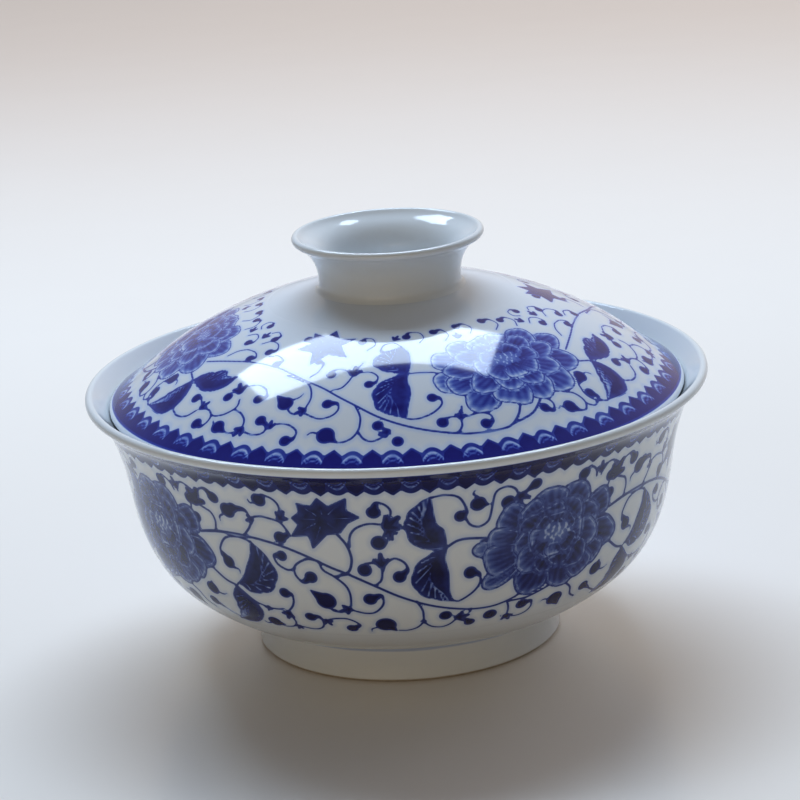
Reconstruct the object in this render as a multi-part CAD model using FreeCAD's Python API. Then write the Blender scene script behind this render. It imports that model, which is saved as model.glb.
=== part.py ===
import FreeCAD, Part
import math
import os

# Lidded porcelain rice bowl, millimetres, +Z up, origin at the centre of the foot's flat base.
# Every piece is turned about the Z axis, so each one is half a section revolved a full turn.

# bowl
footHeight = 10.5
underRadius = 41.0
floorThickness = 4.3
floorFlatRadius = 30.0
floorCurveRadius = 40.0
floorCurveRise = 0.9
wallThickness = 3.2
flareThickness = 2.0
wallInsideFrom = 0.28
wallInsideTo = 0.93
wallInsideStride = 3
bowlLipRadius = 1.2
bowlLipCentre = (78.8, 68.9)
bowlLipAngle = -42.0
bowlOuter = [(41.0, 10.5), (46.5, 11.9), (54.1, 16.0), (62.2, 23.2), (67.1, 32.0), (69.7, 42.0),
             (71.4, 52.0), (73.75, 60.0), (76.4, 65.1)]

# foot ring
footTopOuter = 40.6
footBaseOuter = 39.5
footInner = 34.8
footBevelInner = 35.2
footLandOuter = 38.6
footLandInner = 36.2
footBevelHeight = 0.9
footWaist = 0.5

# lid
lidEdgeRadius = 1.2
lidEdgeCentre = (72.7, 66.15)
lidEdgeAngle = 53.0
lidRimThickness = 2.4
lidThickness = 2.5
lidUnderSag = 0.3
lidInsideFrom = 0.05
lidInsideTo = 0.92
lidInsideStride = 4
knobSeatHeight = 93.2
lidOuter = [(69.5, 69.75), (64.2, 73.8), (56.9, 78.9), (49.0, 83.3), (40.9, 87.0), (32.8, 89.9),
            (25.0, 91.95), (18.9, 93.2)]
lidUnderFlatRadius = 16.0

# hollow collar that serves as the lid's handle
knobOuter = [(18.1, 93.2), (18.2, 95.5), (18.45, 98.0), (19.15, 100.5), (20.6, 102.9), (22.5, 104.8)]
knobInner = [(22.2, 106.75), (19.4, 105.0), (17.0, 102.4), (15.9, 99.8), (15.5, 97.0), (15.5, 93.2)]
knobLipCentre = (23.5, 106.6)
knobLipRadius = 1.0
knobLipAngle = -50.0

offsetSteps = 40
halfTurn = 180.0
fullTurn = 360.0


def point(pair):
    return FreeCAD.Vector(pair[0], 0.0, pair[1])


def line(a, b):
    return Part.LineSegment(point(a), point(b)).toShape()


# smooth curve through all the points, in their order
def curve(points):
    spline = Part.BSplineCurve()
    spline.interpolate([point(p) for p in points])
    return spline


# the point of a circle at an angle from +X towards +Z
def onCircle(centre, radius, degrees):
    angle = math.radians(degrees)
    return (centre[0] + radius * math.cos(angle), centre[1] + radius * math.sin(angle))


# arc from one angle to another, through the angle halfway
def arc(centre, radius, start, end):
    middle = (start + end) / 2.0
    ends = [point(onCircle(centre, radius, a)) for a in (start, middle, end)]
    return Part.Arc(ends[0], ends[1], ends[2]).toShape()


# points at one thickness from a curve, on its left-hand side, the thickness changing along it
def offsetPoints(spline, startThickness, endThickness, keepFrom, keepTo):
    first = spline.FirstParameter
    span = spline.LastParameter - first
    found = []
    for i in range(offsetSteps + 1):
        share = i / offsetSteps
        if share < keepFrom or share > keepTo:
            continue
        place = spline.value(first + span * share)
        along = spline.tangent(first + span * share)[0]
        thickness = startThickness + (endThickness - startThickness) * share
        found.append((place.x - along.z * thickness, place.z + along.x * thickness))
    return found


def turned(edges):
    wire = Part.Wire(Part.__sortEdges__(edges))
    face = Part.Face(wire)
    solid = face.revolve(FreeCAD.Vector(0, 0, 0), FreeCAD.Vector(0, 0, 1), fullTurn)
    return Part.Solid(solid) if solid.ShapeType != "Solid" else solid


# bowl wall, its flat underside, flared mouth and round lip
def bowlBody():
    outerEnd = onCircle(bowlLipCentre, bowlLipRadius, bowlLipAngle)
    innerEnd = onCircle(bowlLipCentre, bowlLipRadius, bowlLipAngle + halfTurn)
    outer = curve(bowlOuter + [outerEnd])
    floorHeight = footHeight + floorThickness
    side = offsetPoints(outer, wallThickness, flareThickness, wallInsideFrom, wallInsideTo)
    floorEdge = [(floorFlatRadius, floorHeight), (floorCurveRadius, floorHeight + floorCurveRise)]
    inner = curve(floorEdge + side[::wallInsideStride] + [innerEnd])
    edges = [
        line((0.0, footHeight), bowlOuter[0]),
        outer.toShape(),
        arc(bowlLipCentre, bowlLipRadius, bowlLipAngle, bowlLipAngle + halfTurn),
        inner.toShape(),
        line((floorFlatRadius, floorHeight), (0.0, floorHeight)),
        line((0.0, floorHeight), (0.0, footHeight)),
    ]
    return turned(edges)


# foot ring, narrowing towards a flat ground land between two bevels
def footRing():
    middle = (footTopOuter + footBaseOuter) / 2.0 - footWaist
    waist = (middle, footHeight / 2.0)
    outer = curve([(footTopOuter, footHeight), waist, (footBaseOuter, footBevelHeight)])
    edges = [
        line((footInner, footHeight), (footTopOuter, footHeight)),
        outer.toShape(),
        line((footBaseOuter, footBevelHeight), (footLandOuter, 0.0)),
        line((footLandOuter, 0.0), (footLandInner, 0.0)),
        line((footLandInner, 0.0), (footBevelInner, footBevelHeight)),
        line((footBevelInner, footBevelHeight), (footInner, footHeight)),
    ]
    return turned(edges)


# domed lid with a round edge and a flat seat for the collar
def lidDome():
    outerStart = onCircle(lidEdgeCentre, lidEdgeRadius, lidEdgeAngle)
    innerStart = onCircle(lidEdgeCentre, lidEdgeRadius, lidEdgeAngle + halfTurn)
    outer = curve([outerStart] + lidOuter)
    underHeight = knobSeatHeight - lidThickness - lidUnderSag
    side = offsetPoints(outer, lidRimThickness, lidThickness, lidInsideFrom, lidInsideTo)
    inner = curve([innerStart] + side[::lidInsideStride] + [(lidUnderFlatRadius, underHeight)])
    edges = [
        line((0.0, knobSeatHeight), lidOuter[-1]),
        outer.toShape(),
        arc(lidEdgeCentre, lidEdgeRadius, lidEdgeAngle, lidEdgeAngle - halfTurn),
        inner.toShape(),
        line((lidUnderFlatRadius, underHeight), (0.0, underHeight)),
        line((0.0, underHeight), (0.0, knobSeatHeight)),
    ]
    return turned(edges)


# hollow collar: straight neck flaring to a round lip
def knobRing():
    outerEnd = onCircle(knobLipCentre, knobLipRadius, knobLipAngle)
    innerEnd = onCircle(knobLipCentre, knobLipRadius, knobLipAngle + halfTurn)
    outer = curve(knobOuter + [outerEnd])
    inner = curve([innerEnd] + knobInner)
    edges = [
        line(knobInner[-1], knobOuter[0]),
        outer.toShape(),
        arc(knobLipCentre, knobLipRadius, knobLipAngle, knobLipAngle + halfTurn),
        inner.toShape(),
    ]
    return turned(edges)


os.makedirs("parts", exist_ok=True)
pieces = {
    "bowl_body": bowlBody(),
    "bowl_foot_ring": footRing(),
    "lid_dome": lidDome(),
    "lid_knob_ring": knobRing(),
}
for node, shape in pieces.items():
    shape.exportStep("parts/" + node + ".step")
    box = shape.BoundBox
    heights = (round(box.ZMin, 2), round(box.ZMax, 2))
    print(node, shape.ShapeType, shape.isValid(), round(shape.Volume), heights)
gap = pieces["bowl_body"].distToShape(pieces["lid_dome"])[0]
print("gap between lid and bowl", round(gap, 3))
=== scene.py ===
import bpy
import math
import numpy as np
from mathutils import Matrix, Vector


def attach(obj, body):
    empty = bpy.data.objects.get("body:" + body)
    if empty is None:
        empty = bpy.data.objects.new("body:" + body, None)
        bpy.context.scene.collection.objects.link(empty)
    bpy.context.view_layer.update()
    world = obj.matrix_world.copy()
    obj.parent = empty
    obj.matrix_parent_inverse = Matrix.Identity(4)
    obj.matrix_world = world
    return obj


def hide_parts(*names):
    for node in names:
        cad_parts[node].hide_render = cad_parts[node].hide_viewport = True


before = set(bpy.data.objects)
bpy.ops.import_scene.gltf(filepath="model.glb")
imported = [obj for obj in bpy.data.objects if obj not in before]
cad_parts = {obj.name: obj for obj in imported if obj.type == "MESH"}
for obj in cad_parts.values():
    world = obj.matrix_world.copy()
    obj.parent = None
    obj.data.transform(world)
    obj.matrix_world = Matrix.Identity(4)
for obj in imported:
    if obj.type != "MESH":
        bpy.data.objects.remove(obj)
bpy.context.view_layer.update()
mm = 0.001


# natural cubic spline through the points, chord length as its parameter: the second slopes solve a
# three-diagonal system with zero at both ends, then each span is the usual cubic
def splineThrough(points, count):
    p = np.array(points, float)
    t = np.concatenate([[0.0], np.cumsum(np.linalg.norm(np.diff(p, axis=0), axis=1))])
    h = np.diff(t)
    n = len(t)
    system = np.eye(n)
    right = np.zeros((n, 2))
    inner = np.arange(1, n - 1)
    system[inner, inner - 1] = h[:-1]
    system[inner, inner] = 2 * (h[:-1] + h[1:])
    system[inner, inner + 1] = h[1:]
    right[inner] = 6 * (np.diff(p[1:], axis=0) / h[1:, None] - np.diff(p[:-1], axis=0) / h[:-1, None])
    bend = np.linalg.solve(system, right)
    s = np.linspace(0, t[-1], count)
    k = np.clip(np.searchsorted(t, s, side="right") - 1, 0, n - 2)
    a = ((t[k + 1] - s) / h[k])[:, None]
    b = 1 - a
    w = (h[k] ** 2 / 6)[:, None]
    return a * p[k] + b * p[k + 1] + ((a ** 3 - a) * bend[k] + (b ** 3 - b) * bend[k + 1]) * w


# a new object for some data, linked into the scene
def added(name, data):
    made = bpy.data.objects.new(name, data)
    bpy.context.collection.objects.link(made)
    return made


# points of a circle: centre + radius * (cos, sin) from one angle to another
def arcPoints(centre, radius, start, end, count):
    angle = np.radians(np.linspace(start, end, count))
    return np.array(centre) + radius * np.stack([np.cos(angle), np.sin(angle)], 1)


# each point moved to its left, square to the line's own direction, by its thickness
def leftOf(line, thickness):
    along = np.gradient(line, axis=0)
    along = along / np.linalg.norm(along, axis=1)[:, None]
    return line + np.stack([-along[:, 1], along[:, 0]], 1) * np.reshape(thickness, (-1, 1))


# point (radius, height) of the section goes to (radius sin a, -radius cos a, height) for every turn angle a;
# a section that ends on the axis closes in a pole, any other section closes on itself
def turnedPiece(name, section, columns, fields=None, start=0.0):
    section = np.array(section, float) * mm
    poles = section[0, 0] < 1e-7 and section[-1, 0] < 1e-7
    ring = section[1:-1] if poles else section
    rows = len(ring)
    angle = np.radians(start + np.arange(columns) * 360 / columns)
    x = np.outer(ring[:, 0], np.sin(angle))
    y = np.outer(ring[:, 0], -np.cos(angle))
    z = np.repeat(ring[:, 1:2], columns, 1)
    points = np.stack([x, y, z], 2).reshape(-1, 3)
    grid = np.arange(rows * columns).reshape(rows, columns)
    side = np.roll(grid, -1, 1)
    above = np.roll(grid, -1, 0)
    cross = np.roll(side, -1, 0)
    quads = np.stack([grid, side, cross, above], 2)
    quads = (quads[:-1] if poles else quads).reshape(-1, 4)
    caps = np.zeros((0, 3), int)
    if poles:
        ends = np.array([[0, 0, section[0, 1]], [0, 0, section[-1, 1]]])
        first = np.stack([side[0], grid[0], np.full(columns, len(points))], 1)
        last = np.stack([grid[-1], side[-1], np.full(columns, len(points) + 1)], 1)
        caps = np.concatenate([first, last])
        points = np.concatenate([points, ends])
    if fields:
        near = np.minimum(fields["ink"], fields["pale"]).ravel()[quads]
        folded = near[:, 0] + near[:, 2] > near[:, 1] + near[:, 3]
        quads[folded] = np.roll(quads[folded], 1, 1)
    tris = np.concatenate([quads[:, :3], quads[:, [0, 2, 3]], caps])
    a, b, c = points[tris[:, 0]], points[tris[:, 1]], points[tris[:, 2]]
    if np.einsum("ij,ij->i", a, np.cross(b, c)).sum() < 0:  # the volume is negative when the faces point in
        quads, caps = quads[:, ::-1], caps[:, ::-1]
    corners = np.concatenate([quads.ravel(), caps.ravel()])
    sizes = np.concatenate([np.full(len(quads), 4), np.full(len(caps), 3)])
    mesh = bpy.data.meshes.new(name)
    mesh.vertices.add(len(points))
    mesh.vertices.foreach_set("co", points.ravel())
    mesh.loops.add(len(corners))
    mesh.loops.foreach_set("vertex_index", corners)
    mesh.polygons.add(len(sizes))
    mesh.polygons.foreach_set("loop_start", np.concatenate([[0], np.cumsum(sizes)[:-1]]))
    mesh.update(calc_edges=True)
    mesh.polygons.foreach_set("use_smooth", np.ones(len(sizes), bool))
    mesh.validate()
    for field, values in (fields or {}).items():
        flat = np.zeros(len(points))
        flat[:values.size] = values.ravel()
        mesh.attributes.new(field, "FLOAT", "POINT").data.foreach_set("value", flat)
    return added(name, mesh)


# turn angle for a step up the section that keeps shapes true: the sum of step length over radius, in degrees
def riseAngles(line):
    step = np.linalg.norm(np.diff(line, axis=0), axis=1)
    radius = (line[1:, 0] + line[:-1, 0]) / 2
    return np.degrees(np.concatenate([[0], np.cumsum(step / radius)]))


# places on the line at the wanted turn angles, in proportion between its own points
def atRise(line, wanted):
    rise = riseAngles(line)
    return np.stack([np.interp(wanted, rise, line[:, 0]), np.interp(wanted, rise, line[:, 1])], 1)


# Catmull-Rom curve: each span leaves and arrives along half the difference of its neighbours
def flowing(points, steps=7):
    p = np.array(points, float)
    if len(p) < 3:
        return p
    q = np.concatenate([2 * p[:1] - p[1:2], p, 2 * p[-1:] - p[-2:-1]])
    t = np.linspace(0, 1, steps, endpoint=False)[None, :, None]
    a, b, c, d = q[:-3, None], q[1:-2, None], q[2:-1, None], q[3:, None]
    squared = 2 * a - 5 * b + 4 * c - d
    cubed = 3 * b - a - 3 * c + d
    curve = 0.5 * (2 * b + (c - a) * t + squared * t ** 2 + cubed * t ** 3)
    return np.concatenate([curve.reshape(-1, 2), p[-1:]])


# distance from every place to a line of straight runs, less the line's own half width there
def reach(x, y, line, half=0.0):
    a, b = line[:-1], line[1:]
    half = np.broadcast_to(half, len(line))
    run = b - a
    size = np.maximum((run ** 2).sum(1), 1e-9)
    dx, dy = x[..., None] - a[:, 0], y[..., None] - a[:, 1]
    share = np.clip((dx * run[:, 0] + dy * run[:, 1]) / size, 0, 1)
    gap = np.hypot(dx - share * run[:, 0], dy - share * run[:, 1])
    return (gap - half[:-1] * (1 - share) - half[1:] * share).min(-1)


# True where a ray to the right crosses the closed outline an odd number of times
def within(x, y, outline):
    a, b = outline, np.roll(outline, -1, 0)
    rise = b[:, 1] - a[:, 1]
    rise = np.where(np.abs(rise) < 1e-9, 1e-9, rise)
    crosses = (a[:, 1] > y[..., None]) != (b[:, 1] > y[..., None])
    at = a[:, 0] + (y[..., None] - a[:, 1]) * (b[:, 0] - a[:, 0]) / rise
    return (crosses & (x[..., None] < at)).sum(-1) % 2 == 1


# eases from 0 at low to 1 at high: the share squared, times three less twice the share
def step01(value, low, high):
    t = np.clip((value - low) / (high - low), 0, 1)
    return t * t * (3 - 2 * t)


# One repeat of a painted band, in degrees round and degrees up. ink, wash and pale hold the distance to
# the nearest dark stroke, tinted area and light stroke, negative inside it; tone says how dark the tint is.
class PaintedRepeat:
    def __init__(self, across, up, period, brush):
        self.x, self.y = np.meshgrid(across, up)
        self.period, self.brush = period, brush
        self.ink, self.wash, self.pale = (np.full(self.x.shape, 9.0) for i in range(3))
        self.tone = np.zeros(self.x.shape)

    # the parts of the band near some points, one for each repeat that they reach into
    def near(self, points, margin=2.0):
        low, high = points.min(0) - margin, points.max(0) + margin
        rows = (self.y[:, 0] > low[1]) & (self.y[:, 0] < high[1])
        for shift in (-self.period, 0, self.period):
            columns = (self.x[0] > low[0] + shift) & (self.x[0] < high[0] + shift)
            if rows.any() and columns.any():
                place = np.ix_(rows, columns)
                yield place, self.x[place] - shift, self.y[place]

    # a stroke: distance to the line, less a half width that goes evenly from start to end
    def stroke(self, line, start=None, end=None, layer="ink"):
        start = self.brush / 2 if start is None else start
        end = start if end is None else end
        half = np.linspace(start, end, len(line))
        field = getattr(self, layer)
        for place, x, y in self.near(line, 2.0 + max(start, end)):
            field[place] = np.minimum(field[place], reach(x, y, line, half))

    # a tendril ends in a round berry that swells out of its last bend
    def tendril(self, points, berry):
        line = flowing(points + [berry[:2]])
        keep = len(flowing(points)) - 1
        self.stroke(line[:keep + 1])
        self.stroke(line[keep - 3:], self.brush / 2, berry[2] * 0.75)
        self.stroke(np.array([berry[:2], berry[:2]]), berry[2])

    # a bud is a drop: a round belly drawn out to a point, with a fine tail
    def bud(self, belly, tip, radius, tail=None):
        self.stroke(np.array([belly, tip], float), radius, 0.2)
        self.stroke(np.array([belly, belly]), radius)
        if tail:
            self.stroke(flowing(tail), self.brush * 0.55, self.brush * 0.3)

    # a node is three short leaflets that leave one point
    def node(self, at, size, turn):
        for spread, share in ((-55, 0.85), (0, 1.15), (50, 0.85)):
            way = np.radians(turn + spread)
            tip = np.array(at) + size * share * np.array([math.cos(way), math.sin(way)])
            self.stroke(np.array([at, (np.array(at) + tip) / 2, tip]), size * 0.44, size * 0.24)

    # fills a closed outline: what was there is rubbed out, then it is tinted and edged
    def fill(self, outline, tint, edge, pale=None):
        for place, x, y in self.near(outline, 2.0):
            gap = reach(x, y, np.concatenate([outline, outline[:1]]))
            inside = within(x, y, outline)
            signed = np.where(inside, -gap, gap)
            self.ink[place] = np.minimum(np.maximum(self.ink[place], -signed), gap - edge)
            self.pale[place] = np.maximum(self.pale[place], -signed)
            if pale:
                light = np.abs(signed + pale[0]) - pale[1]
                self.pale[place] = np.minimum(self.pale[place], light)
            self.wash[place] = np.minimum(self.wash[place], signed)
            self.tone[place] = np.where(signed < 0.4, tint(x, y, -signed), self.tone[place])

    # a leaf between two edges that share both ends: dark, with lighter veins that fan out to one edge
    def leaf(self, leftEdge, rightEdge, veins):
        left, right = flowing(leftEdge, 9), flowing(rightEdge, 9)
        out = left - (left.mean(0) + right.mean(0)) / 2
        out = out / np.linalg.norm(out, axis=1)[:, None]
        share = np.linspace(0, 1, len(left))
        left = left + out * (np.abs(np.sin(share * math.pi * 5)) * np.sin(share * math.pi) * 0.4)[:, None]
        outline = np.concatenate([left, right[::-1][1:-1]])
        self.fill(outline, lambda x, y, depth: 0.8 + 0.16 * step01(depth, 0.4, 1.6), 0.2)
        for share in veins:
            start = left[int(len(left) * share * 0.6)] * 0.5 + right[int(len(right) * share * 0.6)] * 0.5
            end = left[int((len(left) - 1) * share)] * 0.9 + right[int((len(right) - 1) * share)] * 0.1
            bow = (start + end) / 2 + np.array([0.3, 0.3])
            self.stroke(flowing([start, bow, end]), 0.02, 0.2, "pale")

    # petal: an egg along the line from root to tip, half width sin(turn), broadest near its tip, with a
    # ruffled rim; the tint darkens from rim to root and carries fine veins that leave the root
    def petal(self, centre, rimTone, tip, width, root=0.3, lobes=5, dark=0.0):
        centre, tip = np.array(centre, float), np.array(tip, float)
        start = centre + (tip - centre) * root
        axis = tip - start
        size = np.linalg.norm(axis)
        axis = axis / size
        across = np.array([-axis[1], axis[0]])
        turn = np.linspace(0, 2 * math.pi, 60, endpoint=False)
        ahead = 0.5 - 0.5 * np.cos(turn)
        wave = 0.965 + 0.035 * np.cos(turn * lobes) * step01(ahead, 0.4, 0.8)
        side = np.sin(turn) * (0.5 + 0.7 * ahead) * width / 2
        outline = start + np.outer(ahead * wave * size, axis) + np.outer(side * wave, across)

        def tint(x, y, depth):
            along = ((x - start[0]) * axis[0] + (y - start[1]) * axis[1]) / size
            off = ((x - start[0]) * across[0] + (y - start[1]) * across[1]) / width
            fan = off / (0.35 + np.maximum(along, 0)) * 38 + 3 * along
            vein = 0.09 * np.cos(fan) * step01(along, 0.1, 0.6)
            rim = rimTone + (0.5 - 0.5 * rimTone) * step01(depth, 0.3, 2.2) + dark * 1.4
            return rim + (0.9 - rim) * (1 - step01(along, 0.15, 0.85)) + vein + dark
        self.fill(outline, tint, 0.23, (0.55, 0.1))

    # the four fields, set side by side as often as the pattern goes round
    def fields(self, copies):
        return {name: np.tile(getattr(self, name), (1, copies)) for name in ("ink", "wash", "pale", "tone")}


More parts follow.
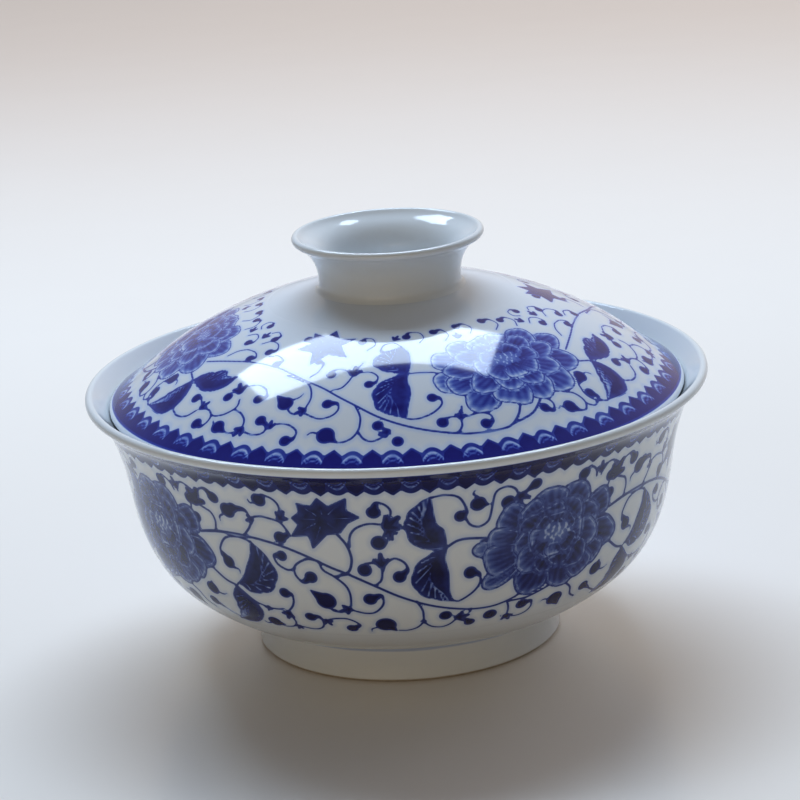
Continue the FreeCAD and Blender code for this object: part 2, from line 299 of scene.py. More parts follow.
# painted vine of the bowl: places are degrees round from the middle of a repeat and degrees up the wall
bowlPattern = {
    "repeats": 4, "columns": 220, "rows": 98, "up": (24.6, 68.55), "brush": 0.52,
    "vines": [
        [(-45, 50), (-40, 50.9), (-35, 51.2), (-30, 50.8), (-25, 49.8), (-20, 48), (-15, 45.6),
         (-11.8, 44.2), (-6.8, 41.5), (-1.5, 38.4), (5, 35.4), (12, 33.4), (16.5, 33), (19.4, 33.4),
         (22.4, 34.5), (25, 36)],
        [(21.2, 33.7), (25.3, 33.7), (28.2, 34.5), (32, 36)],
        [(45, 50), (49, 50.9), (53, 51.2)],
        [(7.9, 49.2), (10, 50.4), (12.4, 50.6), (16, 50.1)],
        [(-44.5, 42.5), (-43.2, 41.6), (-40.6, 39.6), (-38, 38.7)],
        [(-13.5, 53.6), (-11.6, 50.9), (-10.8, 48), (-11.2, 45.6), (-12.1, 44.2)],
        [(-14.7, 43.6), (-12, 44.2)],
        [(12.9, 32.4), (12.9, 33.4)],
    ],
    "sprigs": [
        [(-40.4, 50.9), (-39.9, 53.3), (-40.6, 55.1), (-42.1, 55.8), (-44.1, 56.6)],
        [(-17.5, 46.8), (-16.8, 45), (-14.7, 43.6), (-12.6, 41.5), (-11.9, 39.2), (-12.1, 36.2)],
        [(-12.6, 35.4), (-14.2, 34.4), (-15.9, 34.6), (-16.9, 35.6)],
        [(-37, 37.6), (-34.4, 35.1), (-32.4, 34.2), (-30, 33.7), (-27.6, 34)],
        [(-26.8, 32.6), (-26, 30), (-27.1, 28), (-29.4, 27.4), (-30.8, 28)],
        [(-10.9, 50.4), (-10.7, 52.7), (-9.4, 54.5), (-6.8, 55.5), (-4.4, 55.2)],
        [(-2.2, 55.4), (-1.2, 55.2), (-0.3, 54.2)],
        [(-6.5, 41.6), (-5.3, 42.7), (-5, 44.5), (-5.1, 46)],
        [(1.5, 37.1), (2.6, 34.8), (2.9, 32.7), (2.8, 30.6), (1.5, 28.6), (-0.6, 27.6), (-2.6, 27.7)],
        [(2.9, 31.5), (3.5, 29.8), (5, 28.4), (7.1, 28), (8.8, 28.9), (9.9, 30.4)],
        [(21.2, 33.6), (21.8, 31.5), (21.9, 29.6)],
        [(35.5, 34.8), (37.3, 33), (38.2, 30.6), (40.2, 28.9)],
        [(36.9, 60.6), (37.9, 61.2), (39.6, 60), (40.2, 58.3)],
        [(11.7, 55.2), (12.6, 53.6), (14.4, 52.9), (16.2, 53.9), (16.8, 56.2), (17.4, 60.1),
         (19.4, 61.1), (21.2, 60.3), (22.2, 58.6)],
        [(-32, 50), (-35, 50.6), (-38.2, 49.8), (-40, 47.4), (-40.1, 45.6)],
    ],
    "tendrils": [
        ([(-33.3, 51.1), (-31.5, 53.3), (-31, 55), (-31.8, 57.1)], (-34.6, 57.2, 1.2)),
        ([(-31, 54.2), (-30.3, 55.6), (-28.5, 56.1), (-26.5, 55.8), (-24.4, 55.1),
          (-23.2, 52.7)], (-25, 51.7, 1.4)),
        ([(-24.3, 56.2), (-24, 58.9), (-25, 60.6), (-26.8, 61.2)], (-27.9, 59.9, 1.35)),
        ([(-44.1, 57.1), (-42.8, 58.3), (-42.1, 60.1), (-40.3, 60.6)], (-38.8, 58.9, 1.4)),
        ([(-45.6, 56.5), (-46, 55), (-45.9, 54.2)], (-45, 53.2, 1.2)),
        ([(-17.5, 47), (-20, 47.3), (-22.6, 45.7), (-22.9, 43.6), (-21.5, 42)], (-19.6, 43.2, 1.4)),
        ([(-22.8, 45), (-24.4, 44.5), (-26.5, 45.7), (-26.9, 47.4)], (-25.3, 47.6, 1.2)),
        ([(-12.4, 35.2), (-9.4, 34.2), (-7.1, 34.5), (-5.3, 36.8), (-5.6, 38.9)], (-7.9, 38.1, 1.5)),
        ([(-26.8, 33.3), (-25.3, 35.1), (-24.6, 36.8), (-24.7, 38.4)], (-26.2, 38.7, 1.3)),
        ([(-26.6, 28.6), (-25.3, 28.3), (-22.4, 27.6), (-20.3, 28.3), (-19.3, 30.1), (-19.7, 32.4)],
         (-21.8, 32.3, 1.35)),
        ([(-19.2, 31), (-18.2, 31.5), (-16.8, 32.1), (-14.1, 32.4), (-12.1, 31.5), (-11.2, 30.1)],
         (-13, 28.8, 1.35)),
        ([(-2.9, 56.2), (-2.5, 58.3), (-3.5, 59.8), (-5, 60.2)], (-5.7, 58.1, 1.45)),
        ([(-3.2, 54.2), (-3.3, 52.4), (-3.9, 51.3)], (-5.2, 51.2, 1.6)),
        ([(-5.6, 46.4), (-7, 46.8), (-8, 46.4)], (-8.4, 45.2, 1.5)),
        ([(-4.8, 44.8), (-4.1, 46.5), (-2.4, 47.6), (-0.5, 46.6), (0, 44.9)], (-1.6, 43.4, 1.4)),
        ([(9.6, 31.6), (8.8, 31.8)], (7.6, 32.1, 1.45)),
        ([(20.6, 28.9), (19.4, 29.2)], (17.7, 30.3, 1.65)),
        ([(22.4, 28.6), (24.4, 27.7), (26.5, 28.3), (27.6, 30.1), (27.1, 32.1)], (25, 31.8, 1.5)),
        ([(48.8, 27.1), (45.8, 28.9), (43.6, 30.6)], (41.8, 31.7, 1.4)),
        ([(41.4, 58.3), (41.6, 59.9), (43.8, 60.8), (46.1, 59.2)], (44.4, 57.3, 1.4)),
        ([(5, 60.8), (7.6, 61.1), (10, 60.4), (11.3, 58.6), (11.8, 56.6)], (10.7, 55.8, 1.3)),
        ([(21.8, 57.6), (21.2, 57.4)], (20.1, 57.4, 1.5)),
        ([(9.2, 36.3), (10.6, 36.2), (13.2, 38), (14.6, 40.1), (14.4, 42.2)], (12.6, 42.9, 1.45)),
    ],
    "buds": [  # belly, tip, radius, tail
        ((-36, 56.4), (-34.2, 58), 1.75, [(-36.8, 55.6), (-38.4, 54.6), (-38.6, 53.4)]),
        ((-28, 60), (-26.4, 60.8), 1.55, [(-29, 59.4), (-30, 59.1), (-30.4, 59.9)]),
        ((-38.5, 44.3), (-39.9, 46.6), 1.5, [(-37.6, 43.2), (-36.2, 42.9), (-36.2, 41.9)]),
        ((-17.2, 37.4), (-20.2, 40), 2.2, [(-16.6, 35.4), (-14.4, 34.4)]),
        ((-31.8, 28.8), (-29.4, 28.1), 1.75, [(-33.2, 28), (-34.4, 27.6), (-35, 28.4)]),
        ((-5.3, 30.2), (-3.1, 27.6), 2.35, [(-7.4, 29.2), (-8.6, 28.6), (-8.8, 27.2)]),
        ((13.2, 28.6), (11.6, 30.6), 1.3),
        ((33.7, 30.7), (35.6, 27.8), 2.1, [(32, 31), (30.8, 31.4), (29.9, 31.1)]),
        ((43.8, 36), (44.4, 38), 1.75, [(45, 35.4), (46.4, 35), (47.8, 35.4)]),
        ((14.1, 58.1), (16.2, 57.6), 1.65, [(13.8, 59.8), (13, 60.6), (13.4, 61.5)]),
        ((36.7, 59.8), (36.6, 58.2), 1.45),
        ((25.6, 60.4), (23.4, 59), 1.3),
    ],
    "nodes": [  # place, size, turn
        ((-24.3, 56), 1.7, 60), ((-30.6, 55.2), 1.3, 200), ((-44.4, 57), 2.9, 60),
        ((-12.6, 35.4), 1.7, 200), ((-26.8, 33), 1.8, 250), ((-25.6, 28.3), 1.3, 240),
        ((-18.4, 31.4), 1.5, 300), ((-3.4, 54.8), 2.5, 40), ((-3.1, 53.8), 1.7, -75), ((-5, 46.3), 2, 92),
        ((10.3, 31), 2, 10), ((21.8, 28.7), 1.8, -60), ((22.4, 58.3), 1.9, -20), ((41.3, 59.4), 1.7, 100),
        ((-31.4, 34), 1.1, 250), ((2.9, 31.2), 0.9, -90),
    ],
    "leaves": [  # scalloped edge and plain edge, both from stalk to tip
        ([(7.9, 49.2), (3.2, 49.6), (0.9, 51.8), (0.3, 54.8), (0.9, 57.1), (2.9, 59.5), (5, 60.9)],
         [(7.9, 49.2), (7.7, 51.4), (7.3, 53.2), (6, 54.6), (5.4, 57.6), (5, 60.9)]),
        ([(7.9, 49.2), (5.2, 48.2), (2.6, 46.2), (1.2, 43.6), (1.6, 40.4), (3.6, 38.3), (6.4, 37),
          (9.2, 36.3)],
         [(7.9, 49.2), (7.5, 46.6), (8.1, 43.6), (8.2, 40.6), (8.5, 38), (9.2, 36.3)]),
        ([(-38, 38.7), (-37.1, 39.4), (-34.4, 37.9), (-30.9, 38.3), (-28.3, 40.4), (-27.4, 43.6), (-29, 47),
          (-32, 50)],
         [(-38, 38.7), (-35.4, 41.4), (-34, 44), (-32.6, 46.8), (-32, 50)]),
        ([(-38, 38.7), (-40, 35.6), (-40.2, 31.8), (-41.4, 29), (-43, 26.8)],
         [(-38, 38.7), (-34.4, 34.6), (-33.8, 31.4), (-36.6, 27.8), (-39.6, 26.6), (-43, 26.8)]),
    ],
    "star": [(-16, 61.3), (-14.2, 59.4), (-10.6, 61.4), (-10.9, 58.6), (-8.5, 57), (-10.9, 55.7),
             (-12.6, 53.4), (-15.2, 53.1), (-18.3, 49.9), (-18.8, 52.6), (-22.4, 52.3), (-20.6, 54.9),
             (-21.8, 56.4), (-20.1, 57.7), (-20.2, 59.9), (-17.4, 59.4)],
    "starHeart": (-15.5, 56.4),
    "peony": (31, 48.2), "rimTone": 0.4,
    "petals": [  # tip, width, root share, lobes, extra darkness; from the back to the front
        ((13, 47.6), 4.6, 0.4, 2), ((15.2, 38.8), 5.4, 0.4, 2), ((45.6, 53.2), 7.2, 0.3, 3, 0.06),
        ((47.8, 43.8), 8.5, 0.3, 4, 0.06), ((44, 39.2), 7, 0.3, 3, 0.05), ((35, 34.6), 9.6, 0.3, 4, 0.03),
        ((40.2, 36.4), 7.5, 0.3, 3, 0.04), ((37.4, 58), 9.6, 0.25, 4, 0.04),
        ((28.2, 58.6), 10.6, 0.2, 4, 0.02), ((18, 55), 8, 0.3, 3, 0.03), ((23.6, 56), 6.4, 0.3, 3, 0.05),
        ((15.4, 49.4), 6, 0.35, 3), ((14.8, 43.8), 8, 0.35, 3, 0.02), ((24.2, 35), 9.6, 0.28, 4, 0.05),
        ((42, 50.8), 9, 0.1, 4, 0.08), ((42, 45.2), 8.5, 0.1, 4, 0.02), ((38.4, 39.6), 8.5, 0.1, 4, 0.1),
        ((36.6, 54.6), 8, 0.1, 4, 0.08), ((29, 55), 8.5, 0.1, 5, 0.1), ((22.6, 51.8), 7.5, 0.1, 4, 0.1),
        ((21.6, 46.4), 7.5, 0.1, 4, 0.06), ((22.8, 41.4), 7.5, 0.12, 4, 0.02),
        ((28, 39.4), 7.5, 0.1, 4, 0.12), ((33.4, 40.2), 7.5, 0.1, 4, 0.12),
        ((38.2, 47.6), 6.5, 0.05, 3, 0.02), ((35.6, 51.6), 6, 0.05, 3, 0.12),
        ((31, 53.2), 6.5, 0.05, 3, 0.08), ((26.2, 51.4), 6, 0.05, 3, 0.12), ((24.8, 47), 6, 0.05, 3),
        ((27, 43.4), 6, 0.05, 3, 0.12), ((31.6, 42.8), 6, 0.05, 3), ((36, 44.2), 6, 0.05, 3, 0.12),
        ((29, 51), 4.5, 0.05, 3, 0.14), ((33.6, 50.8), 4.5, 0.05, 3, 0.14),
        ((31.4, 45.2), 5, 0.05, 3, 0.1),
    ],
    "heart": (31.1, 48.3, 3.7, 1.9), "stamens": 17, "veins": (0.3, 0.41, 0.52, 0.63, 0.72, 0.8, 0.88, 0.95),
    "border": {"count": 54, "first": 4.9, "edge": 61.85, "light": (1.95, 0.62), "thin": 0.14, "tone": 0.86,
               "end": 67.95, "up": 1},
}


# paints one repeat: vines and tendrils first, then leaves and flowers over them
def paintRepeat(pattern):
    period = 360 / pattern["repeats"]
    across = (np.arange(pattern["columns"]) / pattern["columns"] - 0.5) * period
    up = np.linspace(*pattern["up"], pattern["rows"])
    band = PaintedRepeat(across, up, period, pattern["brush"])
    for vine in pattern["vines"]:
        band.stroke(flowing(vine), pattern["brush"] * 0.56)
    for sprig in pattern["sprigs"]:
        band.stroke(flowing(sprig))
    for tendril in pattern["tendrils"]:
        band.tendril(*tendril)
    for bud in pattern["buds"]:
        band.bud(*bud)
    for node in pattern["nodes"]:
        band.node(*node)
    for scalloped, plain in pattern["leaves"]:
        band.leaf(scalloped, plain, pattern["veins"])
    star, heart = np.array(pattern["star"], float), np.array(pattern["starHeart"])
    band.fill(star, lambda x, y, depth: 0.8 + 0.16 * step01(depth, 0.3, 1.5), 0.22)
    for tip in star[::2]:
        band.stroke(np.array([heart * 0.75 + tip * 0.25, heart * 0.25 + tip * 0.75]), 0.12, 0.05, "pale")
    for petal in pattern["petals"]:
        band.petal(pattern["peony"], pattern["rimTone"], *petal)
    x, y, wide, high = pattern["heart"]
    turn = np.linspace(0, 2 * math.pi, 72, endpoint=False)
    lobed = 1 + 0.16 * np.cos(turn * 7)
    cloud = np.stack([x + wide * lobed * np.cos(turn), y + high * lobed * np.sin(turn)], 1)
    band.fill(cloud, lambda x, y, depth: 0.62 - 0.1 * step01(depth, 0.1, 1.0), 0.05)
    for i in range(pattern["stamens"]):  # each turned 2.4 radians on from the last, at an even spread
        spread, way = math.sqrt((i + 0.6) / pattern["stamens"]) * 0.92, i * 2.4
        at = np.array([x + wide * spread * math.cos(way), y + high * spread * math.sin(way)])
        band.stroke(np.stack([at, at + np.array([0.3 * math.cos(way * 3), 0.3])]), 0.3, 0.22, "pale")
    return band.fields(pattern["repeats"]), up


edging = {"dart": 0.85, "scallop": (0.35, 0.3), "inner": 1.25, "deep": 3.6}


# Border of darts and scallops, worked out over the whole turn. Measured from the middle of a scallop, a dart
# is a straight-sided point, a scallop and the two light lines in it are parabolas, and all is dark beyond.
def paintBorder(fields, up, border, start):
    rows, columns = fields["ink"].shape
    turn = start + np.arange(columns) * 360 / columns
    pitch = 360 / border["count"]
    x = np.abs((turn - border["first"]) % pitch - pitch / 2)[None, :]
    y = (up[:, None] - border["edge"]) * border["up"]
    dart = (pitch / 2 - x) * edging["dart"]
    scallop = edging["scallop"][0] + edging["scallop"][1] * x ** 2
    light = border["light"][0] + border["light"][1] * x ** 2
    tint = (np.minimum(dart, scallop) - y) * 0.75
    dark = np.where(scallop < dart, light - y, dart - y) * 0.75
    line = np.maximum(np.abs(light - y) * 0.55 - border["thin"], x - 2.1)
    inner = np.maximum(np.abs(light + edging["inner"] - y) * 0.55 - 0.12, x - 1.3)
    end = (up[:, None] - border["end"]) * border["up"]
    fields["wash"] = np.minimum(fields["wash"], np.maximum(tint, end))
    fields["tone"] = np.where(tint < 0.5, border["tone"], fields["tone"])
    fields["ink"] = np.minimum(fields["ink"], np.maximum(np.minimum(dark, edging["deep"] - y), end))
    fields["pale"] = np.minimum(fields["pale"], np.maximum(np.minimum(line, inner), tint))


# a number on the surface: arithmetic on it adds Math nodes
class Wire:
    def __init__(self, finish, socket):
        self.finish, self.socket = finish, socket

    # one Math node, with this number in its first socket
    def join(self, operation, *others):
        numbers = dict(enumerate((self,) + others))
        node = self.finish.node("ShaderNodeMath", {"operation": operation}, numbers)
        return Wire(self.finish, node.outputs[0])

    def __add__(self, other):
        return self.join("ADD", other)

    def __sub__(self, other):
        return self.join("SUBTRACT", other)

    def __rsub__(self, other):
        return self.join("MULTIPLY", -1.0).join("ADD", other)

    def __mul__(self, other):
        return self.join("MULTIPLY", other)

    def largest(self, other):
        return self.join("MAXIMUM", other)

    __radd__ = __add__


# a material or the world, and its one shader
class Finish:
    def __init__(self, owner, shader="Principled BSDF"):
        self.material = owner
        owner.use_nodes = True
        self.tree = owner.node_tree
        self.shader = self.tree.nodes[shader]

    # any node: its type, its settings, then the values or links of its sockets
    def node(self, kind, settings=None, inputs=None):
        made = self.tree.nodes.new(kind)
        for key, value in (settings or {}).items():
            if key == "stops":
                for i, (place, colour) in enumerate(value):
                    spot = made.color_ramp.elements[i] if i < 2 else made.color_ramp.elements.new(place)
                    spot.position, spot.color = place, (*colour, 1)
            else:
                setattr(made, key, value)
        for key, value in (inputs or {}).items():
            self.put(made.inputs[key], value)
        return made

    # a link where the value comes from a node, otherwise the socket's own value
    def put(self, socket, value):
        if isinstance(value, Wire):
            self.tree.links.new(value.socket, socket)
        elif isinstance(value, bpy.types.NodeSocket):
            self.tree.links.new(value, socket)
        else:
            socket.default_value = value

    # a value or a link for one of the shader's own sockets
    def give(self, name, value):
        self.put(self.shader.inputs[name], value)

    # Object coordinates, in metres
    def places(self):
        return self.node("ShaderNodeTexCoord").outputs["Object"]

    # noise between 0 and 1 with so many bumps to the metre
    def noise(self, scale, detail=2.0, rough=0.5):
        inputs = {"Vector": self.places(), "Scale": scale, "Detail": detail, "Roughness": rough}
        return Wire(self, self.node("ShaderNodeTexNoise", None, inputs).outputs["Fac"])

    # a field that the mesh carries
    def field(self, name):
        return Wire(self, self.node("ShaderNodeAttribute", {"attribute_name": name}).outputs["Fac"])

    # 1 where the value is below low, easing to 0 above high
    def below(self, value, low, high):
        node = self.node("ShaderNodeMapRange", {"interpolation_type": "SMOOTHSTEP"},
                         {"Value": value, "From Min": low, "From Max": high, "To Min": 1.0, "To Max": 0.0})
        return Wire(self, node.outputs[0])

    # the colour at the value, in proportion between the stops on either side
    def ramp(self, value, stops):
        return self.node("ShaderNodeValToRGB", {"stops": stops}, {"Fac": value}).outputs["Color"]

    # first colour at share 0, second at share 1
    def blend(self, share, first, second):
        node = self.node("ShaderNodeMix", {"data_type": "RGBA"}, {0: share, 6: first, 7: second})
        return node.outputs[2]


glaze = {
    "pool": (0.60, 0.65, 0.70), "roughness": 0.07, "ripple": 0.00006,
    "clay": (0.56, 0.50, 0.42), "clayDark": (0.40, 0.34, 0.27), "clayRough": 0.72,
    "ior": 1.5, "specular": 0.42, "rippleStrength": 0.35, "glossDrift": 0.05,
}
bumps = {  # to the metre
    "pool": 26, "speck": 900, "gloss": 60, "ripple": 95, "clay": 700, "wipe": 400, "brush": 520, "wash": 140,
    "cloud": 210, "vein": 230, "footLine": 120, "table": 3, "tableGrain": 40, "tableGloss": 12,
}


# the cobalt from a bare touch to full strength, greyer on the bowl than on the lid; the lid's bare white,
# its first stop, is painted bluer and a little darker as painted blue sky light on the lid
bowlCobalt = [(0.0, (0.71, 0.735, 0.745)), (0.15, (0.48, 0.55, 0.68)), (0.36, (0.17, 0.24, 0.50)),
              (0.58, (0.052, 0.085, 0.31)), (0.78, (0.015, 0.024, 0.16)), (1.0, (0.004, 0.004, 0.045))]
lidCobaltSkyTinted = [(0.0, (0.655, 0.70, 0.765)), (0.15, (0.46, 0.56, 0.78)), (0.36, (0.18, 0.27, 0.62)),
             (0.58, (0.055, 0.095, 0.43)), (0.78, (0.018, 0.028, 0.27)), (1.0, (0.006, 0.004, 0.14))]


# clear glaze over white porcelain, its tone drifting a little where the glaze pools; density adds cobalt
def glazedPorcelain(name, density=None, cobalt=bowlCobalt, bare=None):
    finish = Finish(bpy.data.materials.new(name))
    pool = finish.noise(bumps["pool"], 3.0)
    speck = finish.noise(bumps["speck"], 1.0)
    # the bare white is the ramp's first stop; on the lid it is painted bluer, a painted blue sky light
    white = finish.blend(pool * 0.5 + speck * 0.15 - 0.1, (*cobalt[0][1], 1), (*glaze["pool"], 1))
    colour = white
    if density:
        amount = density(finish)
        colour = finish.blend(1 - finish.below(amount, 0.0, 0.12), white, finish.ramp(amount, cobalt))
    rough = glaze["roughness"] + (finish.noise(bumps["gloss"], 3.0) - 0.5) * glaze["glossDrift"]
    if bare:
        share = bare(finish)
        clay = finish.blend(finish.noise(bumps["clay"], 3.0), (*glaze["clay"], 1), (*glaze["clayDark"], 1))
        colour = finish.blend(share, colour, clay)
        rough = rough + share * glaze["clayRough"]
    finish.give("Base Color", colour)
    finish.give("Roughness", rough)
    finish.give("IOR", glaze["ior"])
    finish.give("Specular IOR Level", glaze["specular"])
    waves = {"Height": finish.noise(bumps["ripple"], 1.0), "Strength": glaze["rippleStrength"],
             "Distance": glaze["ripple"]}
    finish.give("Normal", finish.node("ShaderNodeBump", None, waves).outputs["Normal"])
    return finish.material


brush = {  # shares of the full cobalt, widths in degrees
    "edge": 0.13, "mottle": 0.22, "cloud": 0.44, "lightLine": 0.66, "thin": 0.74, "deepGain": 0.22,
    "deepBetween": (-0.62, -0.26), "bleed": 0.11, "bleedWidth": 1.8,
}


# how much cobalt lies at a place: tint inside the washes, full strength in the strokes, less along light
# lines, with the brush's own mottling and a faint bleed round every edge
def brushedCobalt(finish):
    edge, mottle = brush["edge"], brush["mottle"]
    fine, broad = finish.noise(bumps["brush"], 3.0, 0.6), finish.noise(bumps["wash"])
    grain = fine * mottle + broad * (mottle * 0.7) + (1.0 - mottle * 0.85)
    ink, wash, pale = finish.field("ink"), finish.field("wash"), finish.field("pale")
    cloud = 1 - brush["cloud"] / 2 + finish.noise(bumps["cloud"], 2.0, 0.6) * brush["cloud"]
    tinted = finish.below(wash, -edge, edge) * finish.field("tone") * grain * cloud
    patchy = 0.35 + finish.noise(bumps["vein"]) * 1.2
    light = finish.below(pale, -edge, edge) * brush["lightLine"] * patchy
    depth = brush["thin"] + finish.below(ink, *brush["deepBetween"]) * brush["deepGain"]
    inked = finish.below(ink, -edge, edge) * (depth + (grain - 1.0) * 0.35)
    bleed = finish.below(ink.join("MINIMUM", wash), 0.0, brush["bleedWidth"]) * brush["bleed"]
    return (tinted * (1 - light)).largest(inked * (1 - light * 0.75)).largest(bleed)


plainGlaze = glazedPorcelain("plainGlaze")
# the lid's plain shell takes the lid's white, painted bluer and darker as painted blue sky light
lidGlazeSkyTinted = glazedPorcelain("lidGlazeSkyTinted", None, lidCobaltSkyTinted)
bowlPaint = glazedPorcelain("bowlPaint", brushedCobalt, bowlCobalt)
lidPaint = glazedPorcelain("lidPaint", brushedCobalt, lidCobaltSkyTinted)


# gives a piece its material and the body that it rides on, and hides the CAD node that it stands for
def place(piece, material, body, node, slot):
    piece.data.materials.append(material)
    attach(piece, body)
    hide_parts(node)
    return piece


skin = {"proud": 0.05, "sunk": 0.02, "deep": 0.35, "dip": 3, "backRows": 9}


# thin painted skin on a vessel's outer line: it stands a hair proud of the glaze, and over the last rows at
# each end it dives under it, where its back closes it
def paintedSkin(name, outer, pattern):
    start = -180 / pattern["repeats"]
    fields, up = paintRepeat(pattern)
    paintBorder(fields, up, pattern["border"], start)
    lead = pattern.get("lead", 0.0)
    row = np.arange(len(up))
    ends = np.minimum(step01(row, 0, skin["dip"]), step01(row[::-1], 0, skin["dip"]))
    front = leftOf(atRise(outer, up + lead), skin["sunk"] - (skin["proud"] + skin["sunk"]) * ends)
    back = leftOf(atRise(outer, np.linspace(up[-1], up[0], skin["backRows"]) + lead), -skin["deep"])
    section = np.concatenate([front, back])
    padded = {}
    for field, values in fields.items():
        bare = 0.0 if field == "tone" else 9.0
        rest = np.full((skin["backRows"], values.shape[1]), bare)
        padded[field] = np.concatenate([values, rest])
    return turnedPiece(name, section, fields["ink"].shape[1], padded, start)


# inner side of a wall: the outer line moved left by a thickness that changes evenly along it, between two
# shares of its length and at every seventh point, so that the spline laid through it runs smooth
def innerSide(outer, thickness, low, high):
    share = np.linspace(0, 1, len(outer))
    side = leftOf(outer, thickness[0] + (thickness[1] - thickness[0]) * share)
    return side[(share > low) & (share < high)][::7]


# points on one level at several distances from the axis
def level(radii, height):
    return [(radius, height) for radius in radii]


bowl = {
    "outer": [(41.0, 10.5), (46.5, 11.9), (54.1, 16.0), (62.2, 23.2), (67.1, 32.0), (69.7, 42.0),
              (71.4, 52.0), (73.75, 60.0), (76.4, 65.1)],
    "lipCentre": (78.8, 68.9), "lipRadius": 1.2, "lipAngle": -42.0, "thickness": (3.2, 2.0),
    "underside": ((0, 12, 24, 33, 38, 40.5), 10.5), "floorEdge": [(30.0, 14.8), (40.0, 15.7)],
    "floor": ((20, 10, 0), 14.8), "columns": 384,
}
lipStart = arcPoints(bowl["lipCentre"], bowl["lipRadius"], bowl["lipAngle"], bowl["lipAngle"], 1)
bowlOuter = splineThrough(np.concatenate([bowl["outer"], lipStart]), 90)
bowlLip = arcPoints(bowl["lipCentre"], bowl["lipRadius"], bowl["lipAngle"], bowl["lipAngle"] + 180, 20)
bowlSide = innerSide(bowlOuter, bowl["thickness"], 0.28, 0.93)
bowlInner = splineThrough(np.concatenate([bowl["floorEdge"], bowlSide, bowlLip[-1:]]), 80)[::-1]
bowlSection = np.concatenate([level(*bowl["underside"]), bowlOuter, bowlLip[1:], bowlInner[1:],
                              level(*bowl["floor"])])
place(turnedPiece("bowl_wall", bowlSection, bowl["columns"]), plainGlaze, "bowl", "bowl_body", "bowl_glaze")
bowlPaintLine = np.concatenate([splineThrough(np.concatenate([bowl["outer"], lipStart]), 600), bowlLip[1:6]])
place(paintedSkin("bowl_painting", bowlPaintLine, bowlPattern), bowlPaint, "bowl", "bowl_body", "bowl_glaze")
print("bowl made")

foot = {
    "outer": [(41.9, 10.75), (41.1, 10.35), (40.5, 9.7), (40.2, 8.6), (39.9, 7.0), (39.55, 5.25),
              (39.5, 0.9)],
    "land": [(38.6, 0.0), (36.2, 0.0), (35.2, 0.9)], "inner": [(34.9, 8.6), (34.4, 10.0), (33.2, 10.7)],
    "columns": 360, "glazeEnd": 0.75, "band": (9.2, 10.5),
}


# height above the table in millimetres: the third coordinate times 1000
def heightOf(finish):
    split = finish.node("ShaderNodeSeparateXYZ", None, {0: finish.places()})
    return Wire(finish, split.outputs["Z"]) * 1000


# faint blue line under the bowl: 0.2 between the low and the high edge, both wandering a little
def footLine(finish):
    low, high = foot["band"]
    height = heightOf(finish) + finish.noise(bumps["footLine"]) * 0.35
    return finish.below(height, high, high + 0.4) * (1 - finish.below(height, low - 0.7, low)) * 0.2


# bare clay: 1 on the ground land, easing to 0 over 0.25 mm where the glaze was wiped off
def bareLand(finish):
    height = heightOf(finish) + finish.noise(bumps["wipe"]) * 0.3
    return finish.below(height, foot["glazeEnd"], foot["glazeEnd"] + 0.25)


footOuter, footInner = splineThrough(foot["outer"], 40), splineThrough(foot["inner"], 12)
footPiece = turnedPiece("bowl_foot", np.concatenate([footOuter, foot["land"], footInner]), foot["columns"])
footGlaze = glazedPorcelain("footGlaze", footLine, bowlCobalt, bareLand)
place(footPiece, footGlaze, "bowl", "bowl_foot_ring", "foot_glaze")
print("foot made")


